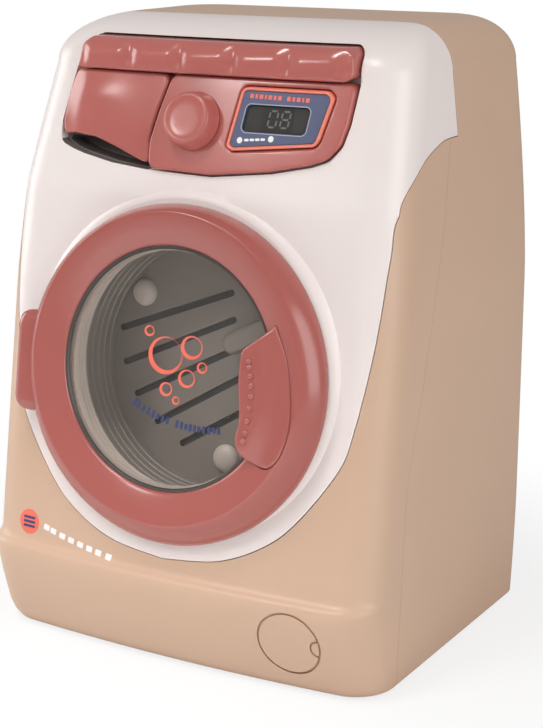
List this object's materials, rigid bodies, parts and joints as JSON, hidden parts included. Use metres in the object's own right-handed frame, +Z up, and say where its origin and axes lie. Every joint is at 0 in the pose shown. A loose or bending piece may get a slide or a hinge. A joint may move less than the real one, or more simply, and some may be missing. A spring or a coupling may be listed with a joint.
{
  "type": "toy washing machine",
  "caption": "Toy front-loading washing machine with a swinging porthole door, geared drum, programme knob, detergent drawer and display.",
  "frame": {"origin": "centre of the base, on the surface that the toy stands on", "axes": "+Z up, the front with the door faces -Y, +X to the viewer's right when facing the door"},
  "size_m": [0.1724, 0.154, 0.24],
  "materials": {
    "beige_shell": "satin injection-moulded ABS",
    "white_panel": "warm white ABS",
    "rose_trim": "terracotta rose gloss ABS",
    "coral_trim": "coral print on ABS",
    "navy_plate": "navy printed plate",
    "clear_window": "clear polystyrene",
    "light_grey": "light grey polypropylene",
    "grey_tub": "grey polypropylene",
    "dark_plastic": "black polypropylene",
    "lcd": "liquid crystal display glass",
    "circuit_board": "green glass epoxy",
    "acetal": "natural acetal",
    "steel": "nickel-plated steel",
    "motor_can": "plated steel can",
    "cell_jacket": "printed zinc cell jacket",
    "rubber_foot": "moulded rubber"
  },
  "bodies": {
    "casing": {"rear_shell": "beige_shell", "front_shell": "beige_shell", "front_panel": "white_panel", "control_panel": "rose_trim", "button_strip": "rose_trim", "rotary_switch": "dark_plastic", "main_board": "circuit_board", "lcd_module": "lcd", "display_bezel": "coral_trim", "display_plate": "navy_plate", "display_glass": "clear_window", "drawer_housing": "white_panel", "drum_mouth_ring": "light_grey", "tub": "grey_tub", "drum_bush": "acetal", "idler_axle": "steel", "motor": "motor_can", "gearbox_housing": "white_panel", "gearbox_cover": "white_panel", "battery_box": "dark_plastic", "battery_cell_1": "cell_jacket", "battery_cell_2": "cell_jacket", "battery_cell_3": "cell_jacket", "contact_spring_1": "steel", "contact_spring_2": "steel", "contact_spring_3": "steel", "contact_plate_1": "steel", "contact_plate_2": "steel", "contact_plate_3": "steel", "battery_door": "beige_shell", "battery_door_screw": "steel", "speaker": "dark_plastic", "case_screw_1": "steel", "case_screw_2": "steel", "case_screw_3": "steel", "case_screw_4": "steel", "foot_1": "rubber_foot", "foot_2": "rubber_foot", "foot_3": "rubber_foot", "foot_4": "rubber_foot"},
    "door": {"door_ring": "rose_trim", "door_handle": "rose_trim", "door_window": "clear_window", "window_retainer": "light_grey", "door_hinge_pin": "steel"},
    "drum": {"drum": "grey_tub", "drum_shaft": "steel", "drum_gear": "acetal"},
    "idler": {"idler_gear": "acetal"},
    "pinion": {"motor_pinion": "acetal", "motor_shaft": "steel"},
    "knob": {"knob": "rose_trim"},
    "drawer": {"drawer": "rose_trim"}
  },
  "joints": [
    {"name": "door_swing", "type": "hinge", "parent": "casing", "child": "door", "pos_m": [-0.06531, -0.06148, 0.11155], "axis": [0, -0.1547, -0.988], "range_deg": [0, 100]},
    {"name": "drum_spin", "type": "hinge", "parent": "casing", "child": "drum", "pos_m": [0, -0.05763, 0.1155], "axis": [0, -0.988, 0.1547], "continuous": true},
    {"name": "idler_spin", "type": "hinge", "parent": "casing", "child": "idler", "pos_m": [0, -0.06125, 0.09238], "axis": [0, -0.988, 0.1547], "continuous": true},
    {"name": "pinion_spin", "type": "hinge", "parent": "casing", "child": "pinion", "pos_m": [0, -0.06431, 0.07282], "axis": [0, -0.988, 0.1547], "continuous": true},
    {"name": "knob_turn", "type": "hinge", "parent": "casing", "child": "knob", "pos_m": [-0.002, -0.03851, 0.20424], "axis": [0, -0.9444, 0.3289], "range_deg": [-140, 140]},
    {"name": "drawer_slide", "type": "slide", "parent": "casing", "child": "drawer", "axis": [0, -1, 0], "range_m": [0, 0.026]}
  ],
  "couplings": [
    {"joint": "idler_spin", "follows": "drum_spin", "ratio": -3.3333},
    {"joint": "pinion_spin", "follows": "drum_spin", "ratio": 8.8889}
  ]
}
